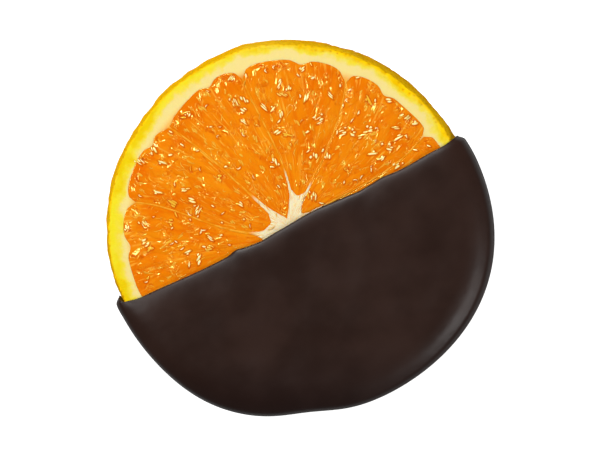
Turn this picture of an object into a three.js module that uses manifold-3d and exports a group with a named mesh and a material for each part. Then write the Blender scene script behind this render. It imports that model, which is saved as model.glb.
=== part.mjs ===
// A slice of candied orange, half dipped in dark chocolate, lying flat with its cut face up.
// Units are millimetres and +Z is up. The origin is the middle of the slice, on the surface it rests on.
// +X runs along the edge of the chocolate, and +Y points to the bare half of the fruit.
import * as THREE from "three";
import { mergeVertices } from "three/addons/utils/BufferGeometryUtils.js";
import Module from "manifold-3d";

// The slice as a whole
const RIND_RADIUS = 36; // to the outside of the rind, at the underside
const SLICE_THICKNESS = 6;
const FACE_INSET = 0.8; // the fruit narrows upwards, so the upper face is smaller by this
const RIND_EDGE = 0.3; // the rounding where rind meets a cut face
const DROOP = 0.7; // the bare half hangs this much lower at its far rim
const CLEARANCE = 0.3; // between pieces that touch

// The juicy part: ten segments, the thin walls between them, and the white core
const FLESH_RADIUS = 32.3;
const WALL_THICKNESS = 0.45;
const WALL_FOOT = 3; // where a wall is at its thickest, measured from the middle of the slice
const WALL_FLARE_REACH = 3;
const CORE_END = 6; // outside of this the walls bend
const TIP_LENGTH = 1.2; // a segment's tip is rounded over this length
const LOBE_DENT = 0.9; // depth of the dent between a segment's two lobes
const LOBE_DENT_WIDTH = 0.07; // as a share of the segment's width
const SEGMENT_DOME = 0.2; // the flesh stands this much above the pith
const SEGMENT_EDGE = 0.35; // height over which its edge is rounded
const FACE_RINGS = [0.92, 0.8, 0.66, 0.52, 0.38, 0.22]; // where its face is shaped, as shares of its outline

// Each wall leaves the pith, passes halfway in and reaches the core at these angles, in degrees. Its flare
// is how much thicker it gets at the core, and its notch is how far the pith reaches in to meet it.
const WALLS = [
  { pith: 8.4, middle: 3.4, core: 6.5, flare: 0.6, notch: 0.8 },
  { pith: 43.5, middle: 38.2, core: 38.5, flare: 0.3, notch: 1.9 },
  { pith: 81.1, middle: 76.3, core: 62, flare: 0.4, notch: 1.6 },
  { pith: 114.2, middle: 112.3, core: 115, flare: 0.9, notch: 1.5 },
  { pith: 144.7, middle: 147.2, core: 165, flare: 0.9, notch: 1.4 },
  { pith: 182.5, middle: 184, core: 190, flare: 1.2, notch: 1.6 },
  { pith: 219, middle: 218, core: 222, flare: 1.2, notch: 1.6 },
  { pith: 256, middle: 258, core: 255, flare: 1.2, notch: 1.6 },
  { pith: 293, middle: 290, core: 290, flare: 1.2, notch: 1.6 },
  { pith: 330.5, middle: 331, core: 325, flare: 1.2, notch: 1.6 },
];
// The segment on the anticlockwise side of each wall: how near its tip comes to the middle of the slice,
// and where the dent between its two lobes lies, as a share of its width
const SEGMENTS = [
  { tip: 3.5, dent: 0.57 },
  { tip: 6.3, dent: 0.43 },
  { tip: 1.7, dent: 0.37 },
  { tip: 3.8, dent: 0.28 },
  { tip: 5.8, dent: 0.41 },
  { tip: 4.5, dent: 0.6 },
  { tip: 4.5, dent: 0.35 },
  { tip: 4.5, dent: 0.55 },
  { tip: 4.5, dent: 0.4 },
  { tip: 4.5, dent: 0.62 },
];

// Juice sacs that bulge from a segment's cut face
const SACS_PER_SEGMENT = 34;
const SAC_LENGTH = 8;
const SAC_WIDTH = 2.6;
const SAC_BULGE = 0.45;
const SAC_TURN = 14; // the most a sac lies askew, in degrees
const SAC_SEED = 7;

// The chocolate coat
const COAT_UNDER = 0.9; // from the resting surface to the fruit
const COAT_OVER = 1.2; // from the fruit's face to the top of the coat
const COAT_RIM = 1.1; // beyond the rind
const COAT_EDGE = 0.35; // the coat's upper edge lies this far past the middle of the slice
const EDGE_WAVE = 0.25;
const EDGE_WAVELENGTH = 15.8;
const EDGE_WAVE_CREST = 4.65;
const LEFT_CURL = 1.5; // how far the edge climbs where it goes over the rind
const RIGHT_CURL = 0.5;
const CURL_WIDTH = 8;
const LEFT_END = 177.2; // the coat's rim runs from this angle
const RIGHT_END = 361.2; // to this one
const END_ROUNDING = 0.6; // how much the rim draws in at its ends
const EDGE_HALF = RIND_RADIUS - 0.3; // half the length of the edge
const UNDER_HALF = RIND_RADIUS - 2; // half the length along which the coat has spread under the fruit
const TOP_WAVE = 0.12; // soft hollows in the coat's upper face
const TOP_RINGS = [0.78, 0.52, 0.26]; // where that face is shaped, as shares of its outline

// Departures from a round shape: each has its angle, its spread in degrees, and how far it swells out
const RIND_RUNS = [
  { at: 76, spread: 9, extra: 0.4 },
  { at: 119, spread: 9, extra: -0.25 },
  { at: 164, spread: 6, extra: 0.2 },
  { at: 249, spread: 22, extra: -0.9 },
  { at: 318, spread: 30, extra: 0.9 },
];
const FLESH_RUNS = [
  { at: 2, spread: 10, extra: 0.5 },
  { at: 20, spread: 9, extra: -0.4 },
  { at: 110, spread: 13, extra: -1.2 },
  { at: 170, spread: 12, extra: -0.5 },
  { at: 249, spread: 22, extra: -0.6 },
  { at: 318, spread: 30, extra: 0.6 },
];
const COAT_RUNS = [
  { at: 188, spread: 7, extra: -0.2 },
  { at: 219, spread: 18, extra: 0.8 },
  { at: 249, spread: 11, extra: -0.95 },
  { at: 319, spread: 35, extra: 2.45 },
];

const FACE = COAT_UNDER + SLICE_THICKNESS; // height of the cut face
const TOP = FACE + COAT_OVER;

// The levels of the coat's outside. Each has its height, how far it draws in from the rim, how far it has
// spread under the fruit, and how far the lip at the edge draws back.
const COAT_LEVELS = [
  { height: 0, inset: 0.9, under: 1.3, lip: 0 },
  { height: 0.45, inset: 0.15, under: 1.6, lip: 0 },
  { height: 3.2, inset: 0, under: 0, lip: 0 },
  { height: 5.6, inset: 0.25, under: 0, lip: 0 },
  { height: 7, inset: 0.85, under: 0, lip: 0 },
  { height: 7.75, inset: 1.8, under: 0, lip: 0.25 },
  { height: TOP, inset: 3.5, under: 0, lip: 1.1 },
];

const { clamp, lerp, degToRad, radToDeg, smoothstep } = THREE.MathUtils;
const wasm = await Module();
wasm.setup();

const polar = (radius, degrees) => [
  radius * Math.cos(degToRad(degrees)),
  radius * Math.sin(degToRad(degrees)),
];

// 1 at the centre, falling to nothing a few widths away; angles wrap round at 360 degrees
function swell(angle, centre, width) {
  const away = ((angle - centre + 540) % 360) - 180;
  return Math.exp(-((away / width) ** 2));
}

const swells = (runs, angle) =>
  runs.reduce((sum, run) => sum + run.extra * swell(angle, run.at, run.spread), 0);

const rindRadius = (angle) => RIND_RADIUS + swells(RIND_RUNS, angle);
const fleshRadius = (angle) => FLESH_RADIUS + swells(FLESH_RUNS, angle);
const coatReach = (angle) => RIND_RADIUS + COAT_RIM + swells(COAT_RUNS, angle);

// How far the rind leans in at a height above the underside
const rindLean = (height) => FACE_INSET * clamp(height / SLICE_THICKNESS, 0, 1) ** 1.5;

// The bare half of the slice bends down towards the surface
const droop = (y) => DROOP * (Math.max(0, y) / RIND_RADIUS) ** 2;

// The same numbers on every run: a small linear congruential generator
function dice(seed) {
  let state = seed;
  return () => {
    state = (state * 1664525 + 1013904223) % 4294967296;
    return state / 4294967296;
  };
}

// A closed body from rings of points that all have the same count. The first ring closes on its own
// middle below, and the last ring on its own middle above.
function bodyOfRings(rings, middleBelow, middleAbove) {
  const count = rings[0].length;
  const points = [...rings.flat(), middleBelow, middleAbove];
  const below = rings.length * count;
  const above = below + 1;
  const faces = [];
  for (let i = 0; i < count; i++) {
    const j = (i + 1) % count;
    faces.push(below, j, i);
    for (let ring = 0; ring < rings.length - 1; ring++) {
      const a = ring * count;
      const b = a + count;
      faces.push(a + i, a + j, b + j, a + i, b + j, b + i);
    }
    faces.push(above, below - count + i, below - count + j);
  }
  const geometry = new THREE.BufferGeometry();
  geometry.setAttribute("position", new THREE.Float32BufferAttribute(points.flat(), 3));
  geometry.setIndex(faces);
  return geometry;
}

function toSolid(geometry) {
  const merged = mergeVertices(geometry, 1e-4);
  return new wasm.Manifold(
    new wasm.Mesh({
      numProp: 3,
      vertProperties: new Float32Array(merged.attributes.position.array),
      triVerts: new Uint32Array(merged.index.array),
    }),
  );
}

function toGeometry(solid) {
  const { vertProperties, triVerts } = solid.getMesh();
  const geometry = new THREE.BufferGeometry();
  geometry.setAttribute("position", new THREE.BufferAttribute(vertProperties, 3));
  geometry.setIndex(new THREE.BufferAttribute(triVerts, 1));
  return geometry;
}

// Lays the bare half down by the droop
function bendDown(geometry) {
  const position = geometry.attributes.position;
  for (let i = 0; i < position.count; i++)
    position.setZ(i, position.getZ(i) - droop(position.getY(i)));
  return geometry;
}

// The whole round slice as one slab, grown by a margin on every side
function slab(margin) {
  const around = 108;
  const levels = [
    { height: -margin, inset: RIND_EDGE },
    { height: RIND_EDGE - margin, inset: 0 },
    { height: SLICE_THICKNESS / 2, inset: 0 },
    { height: SLICE_THICKNESS - RIND_EDGE + margin, inset: 0 },
    { height: SLICE_THICKNESS + margin, inset: RIND_EDGE },
  ];
  const rings = levels.map(({ height, inset }) =>
    Array.from({ length: around }, (_, i) => {
      const angle = (i * 360) / around;
      const radius = rindRadius(angle) - rindLean(height) - inset + margin;
      return [...polar(radius, angle), COAT_UNDER + height];
    }),
  );
  return bodyOfRings(rings, [0, 0, COAT_UNDER - margin], [0, 0, FACE + margin]);
}

// The walls are counted on past the last one, to meet the first again a full turn later
const wallOf = (wall) => WALLS[wall % WALLS.length];

// A wall's direction at a radius, through its three angles
function wallAngle(wall, radius) {
  const { pith, middle, core } = wallOf(wall);
  const turns = wall >= WALLS.length ? 360 : 0;
  const t = clamp((FLESH_RADIUS - radius) / (FLESH_RADIUS - CORE_END), 0, 1);
  const atPith = (1 - t) * (1 - 2 * t) * pith;
  const atMiddle = 4 * t * (1 - t) * middle;
  const atCore = t * (2 * t - 1) * core;
  return atPith + atMiddle + atCore + turns;
}

// Half of a wall's thickness at a radius, as an angle in degrees, with a margin on its side
function wallHalf(wall, radius, margin) {
  const flare = wallOf(wall).flare * Math.exp(Math.min(0, WALL_FOOT - radius) / WALL_FLARE_REACH);
  return radToDeg(((WALL_THICKNESS + flare) / 2 + margin) / radius);
}

// The two sides of a segment at a radius, in degrees, drawn together to a round tip
function segmentSides(index, radius, clearance) {
  const margin = CLEARANCE - clearance;
  const right = wallAngle(index, radius) + wallHalf(index, radius, margin);
  const left = wallAngle(index + 1, radius) - wallHalf(index + 1, radius, margin);
  const fromTip = (radius - SEGMENTS[index].tip + clearance) / TIP_LENGTH;
  const half = (Math.max(0, left - right) / 2) * Math.sqrt(clamp(fromTip, 0, 1));
  return [(left + right) / 2 - half, (left + right) / 2 + half];
}

// The smallest radius, outwards from the tip, at which the walls leave room between them
function innermostRadius(index, clearance) {
  let radius = SEGMENTS[index].tip - clearance;
  for (let room = 0; room < 0.5; radius += 0.05) {
    const [right, left] = segmentSides(index, radius + 0.05, clearance);
    room = left - right;
  }
  return radius;
}

// The plan of a segment, anticlockwise from its tip. The clearance grows it into the pocket it sits in.
function segmentOutline(index, clearance) {
  const alongWall = 13;
  const acrossLobes = 20;
  const innermost = innermostRadius(index, clearance);
  const upTo = (wall) =>
    Array.from({ length: alongWall }, (_, i) => {
      const corner = FLESH_RADIUS - wallOf(wall).notch - 0.4 + clearance;
      return lerp(innermost, corner, ((i + 1) / alongWall) ** 2);
    });
  const rightSide = upTo(index).map((radius) => polar(radius, segmentSides(index, radius, clearance)[0]));
  const leftSide = upTo(index + 1).map((radius) => polar(radius, segmentSides(index, radius, clearance)[1]));
  const [right, left] = segmentSides(index, FLESH_RADIUS - 1, clearance);
  const lobes = Array.from({ length: acrossLobes - 1 }, (_, i) => {
    const share = (i + 1) / acrossLobes;
    const angle = lerp(right, left, share);
    const { notch } = wallOf(share < 0.5 ? index : index + 1);
    const cornerDrop = notch * Math.abs(2 * share - 1) ** 7;
    const fromDent = (share - SEGMENTS[index].dent) / LOBE_DENT_WIDTH;
    const dentDrop = LOBE_DENT * Math.exp(-fromDent * fromDent);
    return polar(fleshRadius(angle) - cornerDrop - dentDrop + clearance, angle);
  });
  const [tipRight, tipLeft] = segmentSides(index, innermost, clearance);
  return [polar(innermost, (tipRight + tipLeft) / 2), ...rightSide, ...lobes, ...leftSide.reverse()];
}

const middleOf = (outline) => {
  const sum = outline.reduce(([sx, sy], [x, y]) => [sx + x, sy + y], [0, 0]);
  return sum.map((value) => value / outline.length);
};

const scaledOutline = (outline, [mx, my], scale) =>
  outline.map(([x, y]) => [mx + (x - mx) * scale, my + (y - my) * scale]);

// Height of the juice sacs above a segment's face: long mounds that lie along the segment and overlap
function sacRelief(index) {
  const random = dice(SAC_SEED + index);
  const sacs = Array.from({ length: SACS_PER_SEGMENT }, () => {
    const radius = lerp(6, FLESH_RADIUS, Math.sqrt(random()));
    const [right, left] = segmentSides(index, radius, 0);
    const angle = lerp(right, left, random());
    const [x, y] = polar(radius, angle);
    const size = lerp(0.7, 1.2, random());
    const heading = degToRad(angle + SAC_TURN * lerp(-1, 1, random()));
    return { x, y, heading, size };
  });
  return (x, y) => {
    let height = 0;
    for (const sac of sacs) {
      const along = (x - sac.x) * Math.cos(sac.heading) + (y - sac.y) * Math.sin(sac.heading);
      const across = (y - sac.y) * Math.cos(sac.heading) - (x - sac.x) * Math.sin(sac.heading);
      const away = (2 * along / SAC_LENGTH) ** 2 + (2 * across / SAC_WIDTH) ** 2;
      height = Math.max(height, SAC_BULGE * sac.size * (1 - away / sac.size ** 2));
    }
    return height;
  };
}

// Nothing of the flesh stands up where the coat lies on it
const bareness = (x, y) => smoothstep(y - coatEdge(x), 0.4, 1.6);

function segment(index) {
  const outline = segmentOutline(index, 0);
  const middle = middleOf(outline);
  const shows = outline.some(([x, y]) => bareness(x, y) > 0.5);
  const relief = sacRelief(index);
  const raised = (x, y) => (SEGMENT_DOME + relief(x, y)) * bareness(x, y);
  const ring = (scale, height) =>
    scaledOutline(outline, middle, scale).map(([x, y]) => [x, y, height(x, y)]);
  const faceRings = shows ? FACE_RINGS : [];
  const rings = [
    ring(0.96, () => COAT_UNDER),
    ring(1, () => COAT_UNDER + SEGMENT_EDGE),
    ring(1, () => FACE - SEGMENT_EDGE),
    ring(0.97, (x, y) => FACE + (SEGMENT_DOME / 2) * bareness(x, y)),
    ...faceRings.map((scale) => ring(scale, (x, y) => FACE + raised(x, y))),
  ];
  return bodyOfRings(rings, [...middle, COAT_UNDER], [...middle, FACE + raised(...middle)]);
}

// The hole in the peel that a segment fills, right through the slice
function pocket(index) {
  const outline = segmentOutline(index, CLEARANCE);
  const at = (height) => outline.map(([x, y]) => [x, y, height]);
  const middle = middleOf(outline);
  return bodyOfRings([at(0), at(TOP)], [...middle, 0], [...middle, TOP]);
}

// Rind, pith, the walls between the segments and the core have grown as one piece
function peelAndCore() {
  return SEGMENTS.reduce(
    (body, _, index) => body.subtract(toSolid(pocket(index))),
    toSolid(slab(0)),
  );
}

// The coat's upper edge, seen from above
function coatEdge(x) {
  const wave = EDGE_WAVE * Math.cos((2 * Math.PI * (x - EDGE_WAVE_CREST)) / EDGE_WAVELENGTH);
  const left = LEFT_CURL * smoothstep(-x, RIND_RADIUS - CURL_WIDTH, RIND_RADIUS + 1) ** 2;
  const right = RIGHT_CURL * smoothstep(x, RIND_RADIUS - CURL_WIDTH, RIND_RADIUS + 1);
  return COAT_EDGE + wave + left + right;
}

// The plan of the coat: round the rim from its left end to its right end, then back along its edge.
// Each point has the way in from the rim, and how far the coat has spread under the fruit there.
function coatPlan() {
  const roundRim = 64;
  const alongEdge = 42;
  const rim = Array.from({ length: roundRim }, (_, i) => {
    const fromEnd = Math.min(i, roundRim - 1 - i) / 3;
    const reach = END_ROUNDING * Math.max(0, 1 - fromEnd) ** 2;
    const angle = lerp(LEFT_END, RIGHT_END, i / (roundRim - 1));
    const [x, y] = polar(coatReach(angle) - reach, angle);
    return { x, y, inward: polar(-1, angle), under: 0, lip: Math.max(0, 0.5 - fromEnd) };
  });
  const edge = Array.from({ length: alongEdge }, (_, i) => {
    const x = lerp(EDGE_HALF, -EDGE_HALF, i / (alongEdge - 1));
    const under = Math.max(0, 1 - (x / UNDER_HALF) ** 4);
    return { x, y: coatEdge(x), inward: [0, 0], under, lip: 1 };
  });
  return [...rim, ...edge];
}

// Soft hollows where the coat follows the fruit below it
const coatTop = (x, y) => TOP + TOP_WAVE * Math.sin(x / 5.5 + 1) * Math.sin(y / 4.5);

// The outside of the coat, as if it were solid
function coatOutside() {
  const plan = coatPlan();
  const rings = COAT_LEVELS.map((level) =>
    plan.map(({ x, y, inward, under, lip }) => [
      x + inward[0] * level.inset,
      y + inward[1] * level.inset + level.under * under - level.lip * lip,
      level.height,
    ]),
  );
  const last = rings.at(-1);
  const middle = [0, -RIND_RADIUS * 0.45];
  for (const scale of TOP_RINGS)
    rings.push(scaledOutline(last, middle, scale).map(([x, y]) => [x, y, coatTop(x, y)]));
  return bodyOfRings(rings, [...middle, 0], [...middle, coatTop(...middle)]);
}

const chocolateCoat = () => toSolid(coatOutside()).subtract(toSolid(slab(CLEARANCE)));

const FINISH = {
  peel: new THREE.MeshStandardMaterial({ color: 0xf7d64a, roughness: 0.5, metalness: 0 }),
  flesh: new THREE.MeshStandardMaterial({ color: 0xed8716, roughness: 0.25, metalness: 0 }),
  chocolate: new THREE.MeshStandardMaterial({ color: 0x32231f, roughness: 0.4, metalness: 0 }),
};

function named(name, geometry, material) {
  const mesh = new THREE.Mesh(geometry, material);
  mesh.name = name;
  return mesh;
}

const slice = new THREE.Group();
slice.add(named("peel_and_core", bendDown(toGeometry(peelAndCore())), FINISH.peel));
SEGMENTS.forEach((_, index) => {
  const name = `segment_${String(index + 1).padStart(2, "0")}`;
  slice.add(named(name, bendDown(segment(index)), FINISH.flesh));
});
slice.add(named("chocolate_coat", toGeometry(chocolateCoat()), FINISH.chocolate));

export default slice;
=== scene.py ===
# %% [markdown]
# # A candied orange slice, half dipped in dark chocolate
# A round slice of orange is simmered in syrup until its flesh is clear and its pith is soft, then dried
# and dipped halfway into melted dark chocolate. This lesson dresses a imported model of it: the model fixes
# every size, and each piece made here stands where one of its solids stands. Lengths are worked out in
# millimetres and stored in metres.

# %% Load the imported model
import math

import bpy
import numpy as np
from mathutils import Matrix, Vector
from mathutils.geometry import delaunay_2d_cdt


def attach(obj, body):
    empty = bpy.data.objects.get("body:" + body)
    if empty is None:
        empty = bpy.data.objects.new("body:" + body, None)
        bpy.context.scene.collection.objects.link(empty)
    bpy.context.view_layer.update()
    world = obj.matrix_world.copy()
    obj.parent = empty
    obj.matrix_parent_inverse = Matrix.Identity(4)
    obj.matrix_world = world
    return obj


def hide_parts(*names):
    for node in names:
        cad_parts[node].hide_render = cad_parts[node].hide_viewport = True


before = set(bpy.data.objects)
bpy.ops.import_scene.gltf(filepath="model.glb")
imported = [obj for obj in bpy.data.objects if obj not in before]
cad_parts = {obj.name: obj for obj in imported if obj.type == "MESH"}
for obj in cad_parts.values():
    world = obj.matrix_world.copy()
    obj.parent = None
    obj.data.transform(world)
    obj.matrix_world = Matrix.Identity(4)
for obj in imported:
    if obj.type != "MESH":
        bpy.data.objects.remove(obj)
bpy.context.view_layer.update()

MM = 0.001

# %% [markdown]
# ## The plan of the slice
# Seen from above the fruit is nearly round. Ten thin walls run from the pith to the white core, and each
# wall bends a little on its way. The same few numbers that shaped the solids are given again here, so that
# every piece fits them.

# %% Sizes of the slice, in millimetres
RIND_RADIUS = 36.0
SLICE_THICKNESS = 6.0
FACE_INSET = 0.8  # the face is this much smaller in radius than the underside
RIND_EDGE = 0.3  # the rim's bevel
DROOP = 0.7
COAT_UNDER = 0.9  # chocolate under the fruit
COAT_OVER = 1.2  # and over it
FACE = COAT_UNDER + SLICE_THICKNESS
TOP = FACE + COAT_OVER
FLESH_RADIUS = 32.3
CORE_END = 6.0
TIP_LENGTH = 1.2
LOBE_DENT = 0.9
LOBE_DENT_WIDTH = 0.07

# A wall's angles at the pith, halfway in and at the core, its flare at the core, and its notch at the pith
WALLS = [
    (8.4, 3.4, 6.5, 0.6, 0.8),
    (43.5, 38.2, 38.5, 0.3, 1.9),
    (81.1, 76.3, 62, 0.4, 1.6),
    (114.2, 112.3, 115, 0.9, 1.5),
    (144.7, 147.2, 165, 0.9, 1.4),
    (182.5, 184, 190, 1.2, 1.6),
    (219, 218, 222, 1.2, 1.6),
    (256, 258, 255, 1.2, 1.6),
    (293, 290, 290, 1.2, 1.6),
    (330.5, 331, 325, 1.2, 1.6),
]
# A segment's tip, as a radius, and the place of the dent between its two lobes, as a share of its width
SEGMENTS = [
    (3.5, 0.57), (6.3, 0.43), (1.7, 0.37), (3.8, 0.28), (5.8, 0.41),
    (4.5, 0.6), (4.5, 0.35), (4.5, 0.55), (4.5, 0.4), (4.5, 0.62),
]
# Departures from a round shape: the angle, its spread in degrees, and how far it swells out
RIND_RUNS = [(76, 9, 0.4), (119, 9, -0.25), (164, 6, 0.2), (249, 22, -0.9), (318, 30, 0.9)]
FLESH_RUNS = [(2, 10, 0.5), (20, 9, -0.4), (110, 13, -1.2), (170, 12, -0.5), (249, 22, -0.6), (318, 30, 0.6)]
COAT_RUNS = [(178, 3, 0.25), (219, 18, 0.8), (249, 11, -0.95), (319, 35, 2.45)]


def smoothstep(value, low, high):
    share = np.clip((np.asarray(value, float) - low) / (high - low), 0, 1)
    return share * share * (3 - 2 * share)


def polar(radius, degrees):
    angle = np.radians(degrees)
    return np.stack([radius * np.cos(angle), radius * np.sin(angle)], axis=-1)


def half_turn(angle):
    """The same angle, between half a turn back and half a turn on."""
    return (angle + 540) % 360 - 180


def radius_and_angle(points):
    return np.hypot(*points[:, :2].T), np.degrees(np.arctan2(points[:, 1], points[:, 0]))


def swells(runs, angle):
    total = np.zeros_like(np.asarray(angle, float))
    for at, spread, extra in runs:
        total += extra * np.exp(-((half_turn(angle - at) / spread) ** 2))
    return total


def rind_radius(angle, height):
    """The rind's reach at a height above the underside; the fruit narrows upwards."""
    lean = FACE_INSET * np.clip(height / SLICE_THICKNESS, 0, 1) ** 1.5
    return RIND_RADIUS + swells(RIND_RUNS, angle) - lean


def droop(y):
    """How far the bare half hangs down."""
    return DROOP * (np.maximum(0, y) / RIND_RADIUS) ** 2


print("walls:", len(WALLS), "segments:", len(SEGMENTS))

# %% [markdown]
# ## The segments' plans
# A segment is a wedge of flesh that fills the space between two walls. Its outer end is two lobes with a
# dent between them, and its tip is rounded where it meets the core. The peel is cut with the same plans, a
# hair larger, so the walls stand between the segments as thin skins, as they do in the real fruit.

# %% Plans of the segments
WALL_THICKNESS = 0.3
WALL_FLARE = 1.35  # the white at the core is this much thicker than the solids' walls have it
WALL_FOOT = 3.0
FLESH_FIT = -0.03  # the flesh presses this far into the skin round it
LOBE_REACH = 0.03
TIP_WIDTH = 0.5  # the outline begins where the tip is this many degrees wide
TIP_STEP = 0.05


def wall_angle(wall, radius):
    at_pith, at_middle, at_core = WALLS[wall % len(WALLS)][:3]
    t = np.clip((FLESH_RADIUS - radius) / (FLESH_RADIUS - CORE_END), 0, 1)
    bend = (1 - t) * (1 - 2 * t) * at_pith + 4 * t * (1 - t) * at_middle + t * (2 * t - 1) * at_core
    return bend + (360 if wall >= len(WALLS) else 0)


def wall_half(wall, radius, gap):
    fade = np.exp(np.minimum(0, WALL_FOOT - radius) / WALL_FOOT)
    flare = WALL_FLARE * WALLS[wall % len(WALLS)][3] * fade
    return np.degrees(((WALL_THICKNESS + flare) / 2 + gap) / radius)


def segment_sides(index, radius, gap, rounded=True):
    """The angles of a segment's two sides at a radius, drawn together to a round tip."""
    right = wall_angle(index, radius) + wall_half(index, radius, gap)
    left = wall_angle(index + 1, radius) - wall_half(index + 1, radius, gap)
    from_tip = (radius - SEGMENTS[index][0] - gap) / TIP_LENGTH
    half = np.maximum(0, left - right) / 2 * (np.sqrt(np.clip(from_tip, 0, 1)) if rounded else 1)
    return (left + right) / 2 - half, (left + right) / 2 + half


def evenly(loop, step):
    """The closed loop again, with its points a step apart."""
    closed = np.vstack([loop, loop[:1]])
    along = np.concatenate([[0], np.cumsum(np.hypot(*np.diff(closed, axis=0).T))])
    at = np.linspace(0, along[-1], max(12, round(along[-1] / step)), endpoint=False)
    return np.column_stack([np.interp(at, along, closed[:, k]) for k in (0, 1)])


def lobe_radius(index, share, angle, gap):
    notch = np.where(share < 0.5, WALLS[index][4], WALLS[(index + 1) % len(WALLS)][4])
    dent = np.exp(-(((share - SEGMENTS[index][1]) / LOBE_DENT_WIDTH) ** 2))
    reach = FLESH_RADIUS + swells(FLESH_RUNS, angle) + LOBE_REACH - gap
    return reach - notch * np.abs(2 * share - 1) ** 7 - LOBE_DENT * dent


def segment_outline(index, gap, step):
    """The plan of a segment, anticlockwise from its tip."""
    inner = SEGMENTS[index][0] + gap
    while np.subtract(*segment_sides(index, inner + TIP_STEP, gap)[::-1]) < TIP_WIDTH:
        inner += TIP_STEP
    climb = (np.arange(1, 81) / 80) ** 2
    corner = [FLESH_RADIUS - WALLS[wall % len(WALLS)][4] - 0.4 - gap for wall in (index, index + 1)]
    right_radius, left_radius = (inner + (reach - inner) * climb for reach in corner)
    right, left = segment_sides(index, FLESH_RADIUS - 1, gap)
    share = np.linspace(0.05, 0.95, 121)
    angle = right + (left - right) * share
    loop = np.vstack([
        polar(right_radius, segment_sides(index, right_radius, gap)[0]),
        polar(lobe_radius(index, share, angle, gap), angle),
        polar(left_radius, segment_sides(index, left_radius, gap)[1])[::-1],
    ])
    loop = evenly(loop, step)
    for _ in range(2):
        loop = (np.roll(loop, 1, 0) + 2 * loop + np.roll(loop, -1, 0)) / 4
    return loop


print("segment 1 outline:", len(segment_outline(0, FLESH_FIT, 0.14)), "points")

# %% [markdown]
# ## From a plan to a closed piece
# Most pieces here are a slice of something: a plan, a top face, an underside, and sides. Blender's own
# triangulator fills a plan from its outline and a sprinkling of points inside, which gives even triangles
# right up to the edge, also in the tips. Stretched grids would crowd there. The faces are joined by bands
# down the sides, so each piece is closed.

# %% Tools for plans and pieces
PAIRS_AT_ONCE = 2_000_000
ROW_HEIGHT = 0.866  # of an even triangle, as a share of its side


def in_parts(points, loop):
    """The points' numbers, in parts that are small enough to be compared with all of the loop at once."""
    return np.array_split(np.arange(len(points)), max(1, len(points) * len(loop) // PAIRS_AT_ONCE))


def inside(points, loop):
    """Which points lie inside the loop."""
    result = np.zeros(len(points), bool)
    x0, y0 = loop.T
    x1, y1 = np.roll(loop, -1, 0).T
    for part in in_parts(points, loop):
        x, y = points[part, :1], points[part, 1:]
        crosses = (y0 > y) != (y1 > y)
        with np.errstate(divide="ignore", invalid="ignore"):
            right_of = x < (x1 - x0) * (y - y0) / (y1 - y0) + x0
        result[part] = np.count_nonzero(crosses & right_of, axis=1) % 2 == 1
    return result


def distance_to(points, loop):
    """How far each point is from the loop's nearest side."""
    result = np.empty(len(points))
    side = np.roll(loop, -1, 0) - loop
    long = (side**2).sum(1)
    for part in in_parts(points, loop):
        away = points[part, None, :] - loop[None]
        along = np.clip((away * side).sum(2) / long, 0, 1)
        result[part] = np.sqrt(((away - along[..., None] * side) ** 2).sum(2)).min(1)
    return result


def sprinkle(low, high, step):
    """Points in rows that are set off from each other, filling a rectangle."""
    rows = np.arange(low[1], high[1], step * ROW_HEIGHT)
    columns = np.arange(low[0], high[0], step)
    x, y = np.meshgrid(columns, rows)
    x = x + (np.arange(len(rows)) % 2)[:, None] * step / 2
    return np.column_stack([x.ravel(), y.ravel()])


def fill_plan(loops, points_inside):
    """All points, the loops' first, and the triangles between the outer loop and the holes."""
    points = np.vstack([*loops, points_inside])
    owner = np.full(len(points), -1)
    edges = []
    start = 0
    for number, loop in enumerate(loops):
        around = np.arange(len(loop))
        edges += np.column_stack([start + around, start + (around + 1) % len(loop)]).tolist()
        owner[start : start + len(loop)] = number
        start += len(loop)
    faces = np.array(delaunay_2d_cdt([Vector(p) for p in points], edges, [], 0, 1e-6, True)[2])
    middle = points[faces].mean(1)
    keep = np.ones(len(faces), bool)
    for number, loop in enumerate(loops):
        on_loop = np.flatnonzero((owner[faces] == number).all(1))
        within = inside(middle[on_loop], loop)
        keep[on_loop] = within if number == 0 else ~within
    faces = faces[keep]
    a, b, c = points[faces].transpose(1, 0, 2)
    turned = (b - a)[:, 0] * (c - a)[:, 1] < (b - a)[:, 1] * (c - a)[:, 0]
    faces[turned] = faces[turned][:, ::-1]
    return points, faces


def band(upper, lower):
    """Four-sided faces between two rings of points that run anticlockwise."""
    return np.column_stack([lower, np.roll(lower, -1), np.roll(upper, -1), upper])


def closed_slice(loops, top, top_faces, under, under_faces, rings):
    """Points and faces of a piece with a filled top and underside. Both begin with the loops' points, and
    rings holds, for each loop, its rings from the top down."""
    points = [top, under]
    faces = [top_faces.tolist(), (under_faces[:, ::-1] + len(top)).tolist()]
    count = len(top) + len(under)
    start = 0
    for loop, loop_rings in zip(loops, rings):
        around = start + np.arange(len(loop))
        upper = around
        for ring in loop_rings:
            lower = count + np.arange(len(loop))
            points.append(ring)
            faces.append(band(upper, lower).tolist())
            upper = lower
            count += len(loop)
        faces.append(band(upper, around + len(top)).tolist())
        start += len(loop)
    return np.vstack(points), sum(faces, [])


def make_piece(name, points, faces, **attributes):
    """A smooth-shaded object from points in millimetres, with numbers stored on its points."""
    mesh = bpy.data.meshes.new(name)
    mesh.from_pydata((points * MM).tolist(), [], faces)
    for label, values in attributes.items():
        kind, key = ("FLOAT_VECTOR", "vector") if values.ndim == 2 else ("FLOAT", "value")
        stored = mesh.attributes.new(label, kind, "POINT")
        stored.data.foreach_set(key, values.astype(np.float32).ravel())
    mesh.shade_smooth()
    piece = bpy.data.objects.new(name, mesh)
    bpy.context.scene.collection.objects.link(piece)
    return piece


def upright(points, z):
    return np.column_stack([points, np.broadcast_to(z, len(points))])


print("tools ready")

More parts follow.
